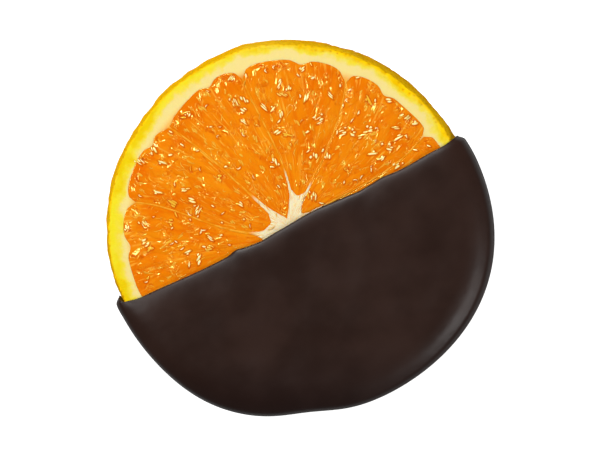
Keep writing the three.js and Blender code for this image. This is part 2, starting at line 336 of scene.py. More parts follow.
# %% [markdown]
# ## Node trees by hand
# Geometry Nodes and materials are both built from nodes. A small class puts nodes in one tree, sets their
# options and fills their inputs with values or with the outputs of other nodes. The rest of the file then
# reads like a recipe.

# %% Tools for node trees
HALF = (0.5, 0.5, 0.5)


class Recipe:
    """Adds nodes to one tree. Nearly every method gives an output for use in the next nodes."""

    def __init__(self, tree):
        self.tree = tree

    def fill(self, node, inputs):
        for key, value in inputs.items():
            if isinstance(value, bpy.types.NodeSocket):
                self.tree.links.new(value, node.inputs[key])
            else:
                node.inputs[key].default_value = value

    def put(self, kind, inputs=None, **options):
        node = self.tree.nodes.new(kind)
        for option, value in options.items():
            setattr(node, option, value)
        self.fill(node, inputs or {})
        return node

    def first(self, kind, inputs=None, **options):
        """The first output of a new node."""
        return self.put(kind, inputs, **options).outputs[0]

    def math(self, operation, *values, clamp=False):
        return self.first("ShaderNodeMath", dict(enumerate(values)), operation=operation, use_clamp=clamp)

    def times(self, product, *others, clamp=False):
        for other in others:
            product = self.math("MULTIPLY", product, other, clamp=clamp)
        return product

    def vector(self, operation, *values):
        node = self.put("ShaderNodeVectorMath", dict(enumerate(values)), operation=operation)
        return node.outputs["Value" if operation == "DOT_PRODUCT" else "Vector"]

    def stretched(self, vector, x, y, z=1.0):
        return self.vector("MULTIPLY", vector, (x, y, z))

    def axes(self, vector):
        """The vector's three numbers."""
        return self.put("ShaderNodeSeparateXYZ", {0: vector}).outputs

    def from_axes(self, x=0.0, y=0.0, z=0.0):
        return self.first("ShaderNodeCombineXYZ", {0: x, 1: y, 2: z})

    def ramp(self, value, low, high, start=0.0, end=1.0):
        """A value carried smoothly from one range to another."""
        inputs = {0: value, 1: low, 2: high, 3: start, 4: end}
        return self.first("ShaderNodeMapRange", inputs, interpolation_type="SMOOTHSTEP")

    def noise(self, vector, scale, detail=2.0, output=0):
        inputs = {"Vector": vector, "Scale": scale, "Detail": detail}
        return self.put("ShaderNodeTexNoise", inputs).outputs[output]

    def waver(self, vector, scale, detail=2.0):
        """A noise that goes above and below nothing."""
        return self.math("SUBTRACT", self.noise(vector, scale, detail), 0.5)

    def pushed(self, vector, scale, x, y):
        """The vector pushed about sideways by a noise."""
        push = self.vector("SUBTRACT", self.noise(vector, scale, 1.0, 1), HALF)
        return self.vector("ADD", vector, self.stretched(push, x, y, 0.0))

    def cells(self, vector, feature="F1"):
        """A pattern of flat cells."""
        inputs = {"Vector": vector, "Scale": 1.0}
        return self.put("ShaderNodeTexVoronoi", inputs, voronoi_dimensions="2D", feature=feature).outputs

    def seen(self, name, output="Fac"):
        """A stored number or vector, read by a material."""
        return self.put("ShaderNodeAttribute", attribute_name=name).outputs[output]

    def named(self, name, kind="FLOAT"):
        """A stored number or vector, read by a geometry tree."""
        return self.first("GeometryNodeInputNamedAttribute", {"Name": name}, data_type=kind)

    def stored(self, geometry, name, value):
        inputs = {"Geometry": geometry, "Name": name, "Value": value}
        return self.first("GeometryNodeStoreNamedAttribute", inputs, data_type="FLOAT", domain="POINT")

    def placed(self, shape, move=(0, 0, 0), scale=(1, 1, 1), turn=(0, 0, 0)):
        inputs = {"Geometry": shape, "Translation": move, "Rotation": turn, "Scale": scale}
        return self.first("GeometryNodeTransform", inputs)

    def poisson(self, geometry, spacing, **inputs):
        """Points scattered over the faces, none closer than the spacing in millimetres."""
        inputs = {key.replace("_", " "): value for key, value in inputs.items()}
        inputs |= {"Mesh": geometry, "Distance Min": self.times(spacing, MM)}
        return self.first("GeometryNodeDistributePointsOnFaces", inputs, distribute_method="POISSON")

    def layers(self, colour, *layers):
        """Colours laid on the first, each by its own share. A colour is red, green and blue, or an output."""
        for share, over in layers:
            colour, over = ((*each, 1) if isinstance(each, tuple) else each for each in (colour, over))
            # 6 and 7 are the node's colour inputs, and 2 is its colour output
            mixed = self.put("ShaderNodeMix", {0: share, 6: colour, 7: over}, data_type="RGBA")
            colour = mixed.outputs[2]
        return colour

    def bump(self, height, strength, distance, **inputs):
        inputs |= {"Strength": strength, "Distance": distance * MM, "Height": height}
        return self.first("ShaderNodeBump", inputs)


print("recipes ready")

# %% [markdown]
# ## Whole trees and finishes
# A tree could stay on its piece as a live modifier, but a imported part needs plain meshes. So each tree is
# run once on its piece, with its sizes as named inputs, and the result is kept as the piece's own mesh.

# %% Tools for whole trees and finishes


def new_tree(name, sizes):
    """A Geometry Nodes tree with named inputs for its sizes. Gives its recipe, its input node's outputs and
    its output node."""
    tree = bpy.data.node_groups.new(name, "GeometryNodeTree")
    tree.interface.new_socket("Geometry", in_out="INPUT", socket_type="NodeSocketGeometry")
    for label, value in sizes.items():
        kind = "NodeSocketInt" if isinstance(value, int) else "NodeSocketFloat"
        tree.interface.new_socket(label, in_out="INPUT", socket_type=kind).default_value = value
    tree.interface.new_socket("Material", in_out="INPUT", socket_type="NodeSocketMaterial")
    tree.interface.new_socket("Geometry", in_out="OUTPUT", socket_type="NodeSocketGeometry")
    return Recipe(tree), tree.nodes.new("NodeGroupInput").outputs, tree.nodes.new("NodeGroupOutput")


def finish_tree(recipe, geometry, given, result):
    """Every tree ends in plain geometry with its material on."""
    real = recipe.first("GeometryNodeRealizeInstances", {"Geometry": geometry})
    finished = recipe.first("GeometryNodeSetMaterial", {"Geometry": real, "Material": given["Material"]})
    recipe.fill(result, {0: finished})
    print(f"{recipe.tree.name} tree:", len(recipe.tree.nodes), "nodes")


def keep_result(piece, modifier):
    """Makes what the modifier shows the piece's own mesh, and takes the modifier off."""
    seen = piece.evaluated_get(bpy.context.evaluated_depsgraph_get())
    mesh = bpy.data.meshes.new_from_object(seen)
    piece.modifiers.remove(modifier)
    piece.data = mesh
    mesh.name = piece.name


def run_tree(piece, tree, **values):
    """Runs the tree on the piece with these inputs, and keeps the result as the piece's own plain mesh."""
    modifier = piece.modifiers.new(tree.name, "NODES")
    modifier.node_group = tree
    for item in tree.interface.items_tree:
        if item.in_out == "INPUT" and item.name in values:
            modifier[item.identifier] = values[item.name]
    keep_result(piece, modifier)


def new_material(name):
    """A material with one Principled shader, and the recipe for its tree."""
    material = bpy.data.materials.new(name)
    material.use_nodes = True
    return material, Recipe(material.node_tree)


def finish_material(look, **inputs):
    """Sets or links the shader's own sockets."""
    shader = look.tree.nodes["Principled BSDF"]
    look.fill(shader, {key.replace("_", " "): value for key, value in inputs.items()})
    print("finish made of", len(look.tree.nodes), "nodes")


print("tools for trees and finishes ready")

# %% [markdown]
# ## Flesh: its finish
# The juicy flesh is thousands of little sacs, cleared by the syrup. Light sinks in and comes out orange,
# the wet skin gives sharp glints, and torn skins show as pale streaks that run from the core to the rind.
# A plain orange colour would look like plastic, so many thin layers of colour are laid over each other
# instead. The pattern follows the segment, so it is laid out on two stored numbers: the way across the
# segment, and the distance from the core. The drops, strands and shadows of the next tree store their own
# numbers, and the colours follow those.

# %% Material of the flesh
TOWARDS_LIGHT = (0.04, 1.0, 0.0)  # patches that lean this way get a painted golden highlight
PATCHES = ((0.32, 0.85, 1.1), (0.2, 0.42, 0.5))  # width, length and lean of the wet skin's two sizes of patch
DEEP_ORANGE = (0.76, 0.13, 0.001)
PALE_THREAD = (0.90, 0.42, 0.04)
STREAK = (0.90, 0.42, 0.035)
STRAND = (0.90, 0.43, 0.04)
CREASE_PAINTED_SHADE = (0.66, 0.10, 0.001)
GOLDEN_PAINTED_HIGHLIGHT = (0.92, 0.50, 0.05)
DIM = (0.62, 0.085, 0.001)
DROP_SHADOW = (0.58, 0.06, 0.001)
DROP_FOOT = (0.80, 0.23, 0.003)
DROP_SIDE = (0.93, 0.47, 0.035)
DROP_TOP_PALE_AND_GLINT = (1.0, 0.84, 0.40)

flesh_finish, look = new_material("candied flesh")
flow = look.seen("flow", "Vector")
local = look.seen("local", "Vector")
broad = look.noise(look.stretched(flow, 1.0, 0.5), 0.16)
mottle = look.noise(look.stretched(flow, 1.0, 0.3), 0.8, 3.0)
blush = look.times(look.seen("near_rim"), look.ramp(look.noise(flow, 0.5, 1.0), 0.42, 0.6), clamp=True)
streak_noise = look.noise(look.stretched(flow, 2.4, 0.2), 1.0, 3.0)
streak_place = look.ramp(look.noise(flow, 0.18, 1.0), 0.42, 0.58)
streaks = look.times(look.ramp(streak_noise, 0.54, 0.67), streak_place)
colour = look.layers(
    (0.78, 0.185, 0.0012),
    (look.ramp(broad, 0.35, 0.65), (0.83, 0.245, 0.003)),
    (look.ramp(mottle, 0.4, 0.7, 0.0, 0.6), DEEP_ORANGE),
    (look.ramp(look.seen("sac_tint"), 0.3, 1.0, 0.0, 0.35), (0.88, 0.30, 0.006)),
    (look.times(blush, 0.25), DEEP_ORANGE),
    # painted shade: the creases between the sacs are darker
    (look.ramp(look.seen("sac_edge"), 0.0, 0.12, 0.15, 0.0), CREASE_PAINTED_SHADE),
    (look.times(streaks, 0.8), STREAK),
    (look.times(look.seen("thread"), 0.6), PALE_THREAD),
)

# The wet skin is made of small flat patches that each lean their own way, and some of them catch a light.
# Those that lean towards it are also painted paler and golden, a painted highlight round the glints.
wandering = look.pushed(local, 0.35, 4.0, 4.0)
wet_place = look.times(look.seen("sparkle"), look.ramp(look.noise(local, 0.4), 0.46, 0.62), clamp=True)
lean = (0.0, 0.0, 0.0)
for across, along, share in PATCHES:
    patch = look.cells(look.stretched(wandering, 1 / across, 1 / along))
    middle = look.ramp(patch["Distance"], 0.5, 0.36, 0.0, share)
    leaning = look.vector("SUBTRACT", patch["Color"], HALF)
    lean = look.vector("ADD", lean, look.vector("MULTIPLY", leaning, middle))
to_light = look.vector("DOT_PRODUCT", lean, TOWARDS_LIGHT)
shade = look.axes(patch["Color"])[0]
tall = look.seen("tall")
# The drops' tops are painted pale cream: partly pale torn sac ends, partly a painted glint.
some_drops = look.ramp(look.noise(local, 2.2, 1.0), 0.36, 0.47)
pale_top_and_glint = look.times(look.ramp(tall, 0.042 * MM, 0.06 * MM), some_drops)
drop_colour = look.layers(
    DROP_FOOT,
    (look.ramp(tall, 0.005 * MM, 0.03 * MM), DROP_SIDE),
    (pale_top_and_glint, DROP_TOP_PALE_AND_GLINT),
)
colour = look.layers(
    colour,
    (look.times(look.ramp(to_light, 0.02, 0.17, 0.0, 0.95), wet_place), GOLDEN_PAINTED_HIGHLIGHT),
    (look.times(look.ramp(shade, 0.52, 0.7, 0.0, 0.85), wet_place), DIM),
    (look.times(look.seen("shadow"), 0.65), DROP_SHADOW),
    (look.seen("bead"), drop_colour),
    (look.times(look.seen("strand"), 0.9), STRAND),
)
normal = look.put("ShaderNodeNewGeometry").outputs["Normal"]
wet_normal = look.vector("ADD", normal, look.vector("MULTIPLY", lean, wet_place))
ripple = look.noise(look.stretched(local, 2.6, 1.2), 1.0)
finish_material(
    look, Base_Color=colour, Normal=look.bump(ripple, 0.2, 0.1, Normal=look.vector("NORMALIZE", wet_normal)),
    Roughness=0.06, IOR=1.65, Specular_Tint=(1.0, 0.85, 0.26, 1),
    Subsurface_Weight=0.15, Subsurface_Radius=(1.0, 0.35, 0.08), Subsurface_Scale=0.6 * MM,
)

# %% [markdown]
# ## Flesh: the juice sacs
# Cut across, a segment shows its sacs as long cells that point to the core, some standing up and some sunk
# or tilted. They could be modelled one by one, but thousands would be needed. A Voronoi pattern has the
# same look as packed cells, so a Geometry Nodes tree raises the face by it: rounded cells, smaller ones on
# them, and fine ripples. On the real slice drops of syrup and torn sac ends lie on the face, thickest near
# the walls and the lobes. The tree lays drops, groups of strokes, low golden strokes and thin curved
# strands there, and stores a shadow beside the drops.

# %% Node tree for the sacs
SAC_SIZES = {
    "Sac Length": 7.0, "Sac Width": 2.2, "Sac Height": 0.15, "Ripple Height": 0.07,
    "Bead Spacing": 2.6, "Bead Length": 0.58, "Bead Width": 0.21, "Bead Height": 0.075,
    "Curl Spacing": 1.6, "Strand Spacing": 1.15, "Strand Width": 0.08, "Seed": 1,
}
sacs, size, result = new_tree("juice sacs", SAC_SIZES)
flow = sacs.named("flow", "FLOAT_VECTOR")
sparkle = sacs.named("sparkle")
from_edge = sacs.named("from_edge")
per_sac = sacs.from_axes(*(sacs.math("DIVIDE", 1.0, size[name]) for name in ("Sac Width", "Sac Length")))
cells_at = sacs.vector("MULTIPLY", sacs.pushed(flow, 0.16, 2.4, 3.0), per_sac)
cells_at = sacs.vector("ADD", cells_at, sacs.from_axes(sacs.times(size["Seed"], 7.3)))


def rounded_cells(at, scale):
    """A cell pattern: its rounded height, the distance to the cells' edges, the cells, the place in them."""
    spot = sacs.vector("MULTIPLY", at, scale)
    edge = sacs.cells(spot, "DISTANCE_TO_EDGE")["Distance"]
    inner = sacs.math("SUBTRACT", 1.0, sacs.math("DIVIDE", edge, 0.32), clamp=True)
    height = sacs.math("SUBTRACT", 1.0, sacs.times(inner, inner))
    return height, edge, sacs.cells(spot), spot


high, edge, cell, spot = rounded_cells(cells_at, (1, 1, 1))
small_high, _, small_cell, _ = rounded_cells(cells_at, (2.3, 2.6, 1))
shade = sacs.axes(cell["Color"])
away = sacs.axes(sacs.vector("SUBTRACT", spot, cell["Position"]))
lean = sacs.math(
    "ADD",
    sacs.times(away[1], sacs.math("SUBTRACT", shade[1], 0.5)),
    sacs.times(away[0], sacs.math("SUBTRACT", shade[2], 0.5)),
)
standing = sacs.math("MULTIPLY_ADD", shade[0], 0.5, 0.45)
swollen = sacs.times(high, sacs.math("MULTIPLY_ADD", lean, 0.9, standing))
small_share = sacs.times(sacs.axes(small_cell["Color"])[0], 0.35)
with_small = sacs.math("MULTIPLY_ADD", small_high, small_share, swollen)
ripple = sacs.waver(sacs.stretched(flow, 2.4, 0.6), 1.0)
relief = sacs.math("MULTIPLY_ADD", ripple, size["Ripple Height"], sacs.times(with_small, size["Sac Height"]))
raised = sacs.stored(size["Geometry"], "sac_tint", shade[2])
raised = sacs.stored(raised, "sac_edge", edge)
lift = sacs.from_axes(z=sacs.times(relief, sacs.named("rise"), MM))
raised = sacs.first("GeometryNodeSetPosition", {"Geometry": raised, "Offset": lift})
print("relief of the sacs:", len(sacs.tree.nodes), "nodes")

# %% [markdown]
# ## Flesh: drops, strokes and strands
# Each kind is a few small shapes. Copies of them are set on points of the raised face, picked, turned and
# stretched at random, then bent a little and laid down on the relief point by point. A straight copy would
# float over the hollows.

# %% Tools for what lies on the flesh
DOT_DENSITY = 2.2e6  # dots to a square metre, before those closer than the spacing are left out
RAY_START = 3.0
BEND = 0.45
BEND_SCALE = 1300.0
place = sacs.first("GeometryNodeInputPosition")
outwards = sacs.vector("NORMALIZE", sacs.stretched(place, 1, 1, 0))


def random_between(low, high, seed):
    return sacs.first("FunctionNodeRandomValue", {0: low, 1: high, "Seed": seed}, data_type="FLOAT_VECTOR")


def scattered(shape, spacing, density, seed, spread, small, large, label):
    """The shapes set on the flesh many times, pointing outwards more or less, and laid down on the relief."""
    dots = sacs.poisson(raised, size[spacing], Density_Max=DOT_DENSITY, Density_Factor=density, Seed=seed)
    heading = sacs.first("FunctionNodeAlignRotationToVector", {"Vector": outwards}, axis="X")
    angles = random_between((0, 0, -spread), (0, 0, spread), seed)
    turned = {"Rotation": heading, "Rotate By": sacs.first("FunctionNodeEulerToRotation", {0: angles})}
    choice = {"Min": 0, "Max": 99, "Seed": seed}
    pick = sacs.put("FunctionNodeRandomValue", choice, data_type="INT").outputs[2]
    laid = sacs.first("GeometryNodeInstanceOnPoints", {
        "Points": dots, "Instance": shape, "Pick Instance": True, "Instance Index": pick,
        "Rotation": sacs.first("FunctionNodeRotateRotation", turned, rotation_space="LOCAL"),
        "Scale": random_between(small, large, seed),
    })
    laid = sacs.first("GeometryNodeRealizeInstances", {"Geometry": laid})
    below = sacs.put("GeometryNodeRaycast", {
        "Target Geometry": raised, "Source Position": sacs.vector("ADD", place, (0, 0, RAY_START * MM)),
        "Ray Direction": (0, 0, -1), "Ray Length": 2 * RAY_START * MM,
    }).outputs
    ground = sacs.axes(below["Hit Position"])[2]
    here = sacs.axes(sacs.pushed(place, BEND_SCALE, BEND * MM, BEND * MM))
    spot = sacs.from_axes(here[0], here[1], sacs.math("ADD", ground, sacs.named("tall")))
    laid_down = {"Geometry": laid, "Selection": below["Is Hit"], "Position": spot}
    laid = sacs.first("GeometryNodeSetPosition", laid_down)
    return sacs.first("GeometryNodeSetShadeSmooth", {"Geometry": sacs.stored(laid, label, 1.0)})


def standing_tall(shape):
    """The shape in metres with each point's own height stored, as one thing to pick."""
    shape = sacs.stored(sacs.placed(shape, scale=(MM, MM, MM)), "tall", sacs.axes(place)[2])
    return sacs.first("GeometryNodeGeometryToInstance", {0: shape})


def arc(radius, sweep, thickness=1.0):
    """A thin curved strand that tapers to both ends."""
    line = sacs.first("GeometryNodeCurveArc", {
        "Resolution": 9, "Radius": radius, "Start Angle": -sweep / 2, "Sweep Angle": sweep}, mode="RADIUS")
    line = sacs.placed(line, (-radius, 0, 0), turn=(0, 0, math.pi / 2))
    share = sacs.put("GeometryNodeSplineParameter").outputs["Factor"]
    away = sacs.math("ABSOLUTE", sacs.math("MULTIPLY_ADD", share, 2.0, -1.0))
    ring = sacs.first("GeometryNodeCurvePrimitiveCircle", {"Resolution": 5, "Radius": size["Strand Width"]})
    return standing_tall(sacs.first("GeometryNodeCurveToMesh", {
        "Curve": line, "Profile Curve": ring, "Scale": sacs.ramp(away, 1.05, 0.2, 0.0, thickness),
        "Fill Caps": True}))


def gathered(*shapes):
    together = sacs.put("GeometryNodeJoinGeometry")
    for shape in shapes:
        sacs.fill(together, {0: shape})
    return together.outputs[0]


def group(*strokes):
    """Drops side by side: each is moved along and across, and given a share of the full length and width."""
    return standing_tall(gathered(*(
        sacs.placed(drop, (along, across, 0), (length, width, 1))
        for along, across, length, width in strokes)))


print("tools for drops and strands ready")

# %% The shapes, and where they lie
ball = sacs.first("GeometryNodeMeshUVSphere", {"Segments": 8, "Rings": 6, "Radius": 1.0})
drop = sacs.placed(ball, scale=sacs.from_axes(size["Bead Length"], size["Bead Width"], size["Bead Height"]))
low_drop = sacs.placed(drop, scale=(1.1, 0.9, 0.6))
low_pair = gathered(low_drop, sacs.placed(low_drop, (0.35, 0.36, 0), (0.7, 0.9, 1)))
curls = gathered(
    group((0, 0, 1, 1.1), (0.3, 0.42, 0.7, 0.7), (-0.2, 0.8, 0.5, 1)),
    group((0, 0, 1.3, 0.7), (0.5, 0.36, 0.8, 1), (0.1, 0.74, 1.1, 0.6), (0.9, 1.1, 0.4, 0.9)),
    group((0, 0, 0.9, 0.7), (0.25, 0.34, 1.3, 0.9), (-0.15, 0.66, 0.6, 0.7)),
    group((0, 0, 1.7, 1), (0.3, 0.36, 0.5, 0.8)),
    group((0, 0, 1.1, 0.8), (-0.25, 0.34, 1.3, 0.9)),
    group((0, 0, 1.5, 0.9), (0.6, 0.4, 0.9, 1), (-0.5, -0.36, 0.6, 0.8)),
    arc(0.36, 4.0, 1.2), arc(0.5, 1.9, 1.2), arc(1.1, 1.0, 1.3),
)
arcs = gathered(
    arc(0.9, 1.6), arc(2.4, 0.9), standing_tall(low_drop),
    arc(0.45, 3.2), arc(1.5, -1.3), standing_tall(low_pair),
)
where = sacs.times(sparkle, sacs.ramp(sacs.noise(flow, 0.4), 0.41, 0.54), clamp=True)
clear = sacs.times(where, sacs.ramp(from_edge, 0.5, 1.1))
strand_place = sacs.ramp(sacs.noise(flow, 0.3, 1.0), 0.38, 0.58, 0.12, 0.85)
strand_place = sacs.times(strand_place, sacs.ramp(from_edge, 0.35, 0.8))
curl_seed, strand_seed = (sacs.math("ADD", size["Seed"], extra) for extra in (80.0, 40.0))
beads = scattered(
    standing_tall(drop), "Bead Spacing", where, size["Seed"], 1.2, (0.45, 0.6, 1), (1.1, 1.0, 1), "bead")
curled = scattered(curls, "Curl Spacing", clear, curl_seed, 1.25, (0.75, 0.8, 1), (1.4, 1.25, 1), "bead")
strands = scattered(
    arcs, "Strand Spacing", strand_place, strand_seed, 0.6, (0.6, 0.6, 1), (1.2, 1.2, 1), "strand")

# The shadow lies on the side of a drop that is away from the light. The distance is 0 where there is no drop
beside = sacs.vector("ADD", place, (-0.02 * MM, 0.09 * MM, 0))
nearest = {0: gathered(beads, curled), "Sample Position": beside}
to_drop = sacs.put("GeometryNodeProximity", nearest, target_element="FACES").outputs
shadow = sacs.times(sacs.ramp(to_drop["Distance"], 0.08 * MM, 0.28 * MM, 1.0, 0.0), to_drop["Is Valid"])
finish_tree(sacs, gathered(sacs.stored(raised, "shadow", shadow), beads, curled, strands), size, result)

# %% [markdown]
# ## The dip line
# The chocolate ends in a line across the slice that waves a little and climbs at both ends, where it goes
# over the rind. The flesh is flat under the chocolate, and its sacs stand up only where the face is bare,
# so the line is needed first. A few smooth swells are added up to draw it, because they can be placed one
# by one.

# %% Place of the dip line
# Waves of the dip line: the place along it, the spread, and how far it swells towards the bare half
DIP_RUNS = [(-11.3, 1.5, 0.45), (-6, 1.8, -0.2), (5.3, 5.5, 0.5), (15, 1.6, -0.14), (20.3, 1.8, 0.25)]
# Climbs at its ends: which way along it, where the climb starts and ends, and how high it goes
DIP_CLIMBS = [
    (-1, 17, 32, 0.55), (-1, 31.5, 37, 0.85), (-1, RIND_RADIUS - 0.6, RIND_RADIUS + 0.2, 1.3),
    (1, 25, 31, 0.3), (1, 33, 37, 0.4),
]
DIP_LEVEL = 0.4
BARE_FROM, BARE_FULLY = 0.1, 2.4


def coat_edge(x):
    return DIP_LEVEL + swells(DIP_RUNS, x) + sum(
        climb * smoothstep(way * x, start, end) for way, start, end, climb in DIP_CLIMBS)


def bareness(points):
    """Nothing at the dip line, 1 a little further up the bare half."""
    return smoothstep(points[:, 1] - coat_edge(points[:, 0]), BARE_FROM, BARE_FULLY)


print("dip line at x = -30, 0, 30:", np.round(coat_edge(np.array([-30.0, 0.0, 30.0])), 2))

# %% [markdown]
# ## Flesh: the ten segments
# Each segment is a closed wedge from face to underside with softly rounded edges. The bare ones get a fine
# face for the sacs. Those under the chocolate are finished the same way with fewer points, as nobody sees
# them until it is bitten.

# %% Tools for the segments
SEGMENT_LIFT = 0.06
SEGMENT_DOME = 0.12
DOME_EDGE = 2.5
SEGMENT_EDGE = 0.16
FINE_STEP = 0.125
COARSE_STEP = 0.5
FINE_FROM = -1.5  # the fine points begin this far under the chocolate
CLEAR_OF_LOOP = 0.6
FLOW_RADIUS = 20.0
WIDE_RADIUS = 26.0
SEGMENT_SHIFT = 31.0  # sets each segment's pattern apart from its neighbour's
BARE_SEGMENTS = (0, 1, 2, 3, 4, 9)
SEEDS = (1, 2, 3, 4, 5, 6, 7, 8, 9, 13)


def plan_points(loops, fine, coarse):
    """Points for the inside of a plan: fine on the bare side of the dip line, coarse under the chocolate."""
    low, high = loops[0].min(0), loops[0].max(0)
    result = []
    for step, bare in ((fine, True), (coarse, False)):
        points = sprinkle(low, high, step)
        y = points[:, 1]
        points = points[y >= FINE_FROM if bare else y < FINE_FROM - coarse / 2]
        points = points[inside(points, loops[0])]
        for number, loop in enumerate(loops):
            near = ((points > loop.min(0) - step) & (points < loop.max(0) + step)).all(1)
            keep = ~near
            keep[near] = distance_to(points[near], loop) > step * CLEAR_OF_LOOP
            if number > 0:
                keep[near] &= ~inside(points[near], loop)
            points = points[keep]
        result.append(points)
    return np.vstack(result)


def rounded_edge(distance):
    """How far a face drops towards its rounded edge."""
    inwards = SEGMENT_EDGE - np.minimum(distance, SEGMENT_EDGE)
    return SEGMENT_EDGE - np.sqrt(SEGMENT_EDGE**2 - inwards**2)


def flesh_numbers(index, points):
    """What the tree and the material need to know of each point: where it lies in its segment."""
    radius, angle = radius_and_angle(points)
    middle = wall_angle(index, FLOW_RADIUS) / 2 + wall_angle(index + 1, FLOW_RADIUS) / 2
    angle = middle + half_turn(angle - middle)
    right, left = segment_sides(index, radius, 0, rounded=False)
    share = np.clip((angle - right) / np.maximum(1e-3, left - right), 0, 1)
    width = np.radians(left - right) * radius
    flow_width = np.radians(wall_angle(index + 1, WIDE_RADIUS) - wall_angle(index, WIDE_RADIUS)) * FLOW_RADIUS
    across = flow_width * (share - 0.5)
    shift = SEGMENT_SHIFT * index
    lean = np.radians(angle - middle)
    from_wall = np.minimum(share, 1 - share) * width
    from_dent = np.abs(share - SEGMENTS[index][1]) * width
    right_end, left_end = segment_sides(index, FLESH_RADIUS - 1, 0)
    from_lobe = lobe_radius(index, share, right_end + (left_end - right_end) * share, 0) - radius
    near_wall = 0.8 * (1 - smoothstep(from_wall, 0.3, 1.6))
    return {
        "flow": upright(np.column_stack([across + shift, radius]), 0),
        "local": upright(np.column_stack([radius * np.sin(lean) + shift, radius * np.cos(lean)]), 0),
        "thread": np.exp(-((from_dent / 0.16) ** 2)) * smoothstep(radius, 23, 29),
        "near_rim": 1 - smoothstep(from_lobe, 1.5, 7),
        "sparkle": np.maximum(np.maximum(1 - smoothstep(from_lobe, 0.8, 3.5), near_wall), 0.5),
        "narrow": np.clip(width / flow_width, 0.2, 1),
    }


def make_segment(index):
    step = FINE_STEP if index in BARE_SEGMENTS else COARSE_STEP
    outline = segment_outline(index, FLESH_FIT, step)
    top, top_faces = fill_plan([outline], plan_points([outline], step, COARSE_STEP))
    under, under_faces = fill_plan([outline], plan_points([outline], 2.5 * step, 2 * COARSE_STEP))
    bare = bareness(top)
    from_edge, under_from_edge = distance_to(top, outline), distance_to(under, outline)
    dome = SEGMENT_LIFT + SEGMENT_DOME * smoothstep(from_edge, 0, DOME_EDGE)
    top_z = FACE + dome * bare - rounded_edge(from_edge) * (1 - 0.85 * bare)
    under_z = COAT_UNDER + rounded_edge(under_from_edge)
    heights = np.linspace(FACE - 2 * SEGMENT_EDGE, COAT_UNDER + 2 * SEGMENT_EDGE, 4)
    rings = [[upright(outline, z) for z in heights]]
    points, faces = closed_slice(
        [outline], upright(top, top_z), top_faces, upright(under, under_z), under_faces, rings)
    points[:, 2] -= droop(points[:, 1])

    numbers = flesh_numbers(index, points)
    rise, clear, faced = np.zeros((3, len(points)))
    rise[: len(top)] = bare * smoothstep(from_edge, 0, 1.7)
    rise[len(top) : len(top) + len(under)] = -0.5 * bareness(under) * smoothstep(under_from_edge, 0, 0.8)
    clear[: len(top)] = from_edge
    past_edge = smoothstep(top[:, 1] - coat_edge(top[:, 0]), 0.2, 0.8)
    faced[: len(top)] = past_edge * smoothstep(from_edge, 0.15, 0.5)
    numbers["thread"] *= faced
    numbers["sparkle"] *= faced
    rise *= numbers.pop("narrow")
    piece = make_piece(f"flesh_{index + 1:02d}", points, faces, rise=rise, from_edge=clear, **numbers)
    run_tree(piece, sacs.tree, Material=flesh_finish, Seed=SEEDS[index])
    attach(piece, "root")
    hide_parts(f"segment_{index + 1:02d}")
    return piece


print("tools for the segments ready")

# %% Make the segments
segments = [make_segment(index) for index in range(len(SEGMENTS))]
print("faces in the segments:", [len(piece.data.polygons) for piece in segments])

# %% [markdown]
# ## Peel: its finish
# From the outside in, the peel is a thin oily zest, deep golden and pitted with pores, then a yellow
# layer, then cream coloured pith with a ragged border between them. One side of the rind is riper than the
# other, and its wall is warmer low down. The walls are the same stuff, stained golden by the flesh, and
# turn white at the core. Painting this by hand would tie it to one slice, so each point stores its depth
# under the rind and how white it is, and the colours follow.

# %% Material of the peel
ZEST = (0.92, 0.59, 0.003)
DEEP_ZEST = (0.78, 0.47, 0.001)
UNRIPE_RIND = (0.78, 0.41, 0.001)
RIPE_RIND = (0.96, 0.535, 0.002)
LOW_RIND = (0.88, 0.41, 0.001)
PORE = (0.62, 0.27, 0.001)
YELLOW = (0.80, 0.64, 0.055)
PITH = (0.80, 0.65, 0.24)
STAINED_WALL = (0.87, 0.37, 0.028)
SOAKED_WALL = (0.82, 0.25, 0.005)
CORE_THREAD = (0.80, 0.43, 0.08)
CORE_WHITE = (0.82, 0.77, 0.53)

peel_finish, look = new_material("candied peel")
place = look.put("ShaderNodeTexCoord").outputs["Object"]
flow = look.seen("flow", "Vector")
depth = look.seen("rind_depth")
ragged = look.noise(look.stretched(flow, 1.1, 0.6), 0.8, 3.0)
blotch = look.noise(place, 180.0, 3.0)
wander = look.math("MULTIPLY_ADD", blotch, 3.0, look.math("MULTIPLY_ADD", ragged, 3.0, -3.0))
wander = look.times(wander, look.ramp(depth, 0.05, 0.6))
zest_depth = look.math("ADD", look.seen("zest"), look.times(wander, 0.2))
yellow_depth = look.math("ADD", look.seen("yellow"), wander)
ripe_side = look.ramp(look.axes(place)[0], -5 * MM, 18 * MM)
low_down = look.ramp(look.axes(place)[2], 5.4 * MM, 3 * MM, 0.0, 0.85)
outer = look.layers(UNRIPE_RIND, (ripe_side, RIPE_RIND), (low_down, LOW_RIND))
zest = look.layers(ZEST, (look.ramp(look.noise(place, 420.0), 0.4, 0.62), DEEP_ZEST))
under_zest = look.layers((0.76, 0.54, 0.004), (look.ramp(blotch, 0.4, 0.6), (0.79, 0.67, 0.02)))
soaked = look.ramp(look.noise(flow, 0.45), 0.4, 0.62)
threads = look.noise(look.stretched(flow, 4.5, 0.4), 1.0, 3.0)
colour = look.layers(
    outer,
    (look.ramp(depth, 0.0, 0.2), zest),
    (look.times(look.seen("pit"), 0.8), PORE),
    (look.ramp(zest_depth, 0.5, 1.3), under_zest),
    (look.ramp(yellow_depth, -1.0, 0.3), YELLOW),
    (look.ramp(yellow_depth, -0.1, 1.1), PITH),
    (look.seen("membrane"), look.layers(STAINED_WALL, (soaked, SOAKED_WALL))),
    (look.seen("white"), look.layers(CORE_THREAD, (look.ramp(threads, 0.40, 0.52), CORE_WHITE))),
)
fibre = look.math("MULTIPLY_ADD", threads, 0.7, look.times(look.noise(place, 1400.0, 3.0), 0.5))
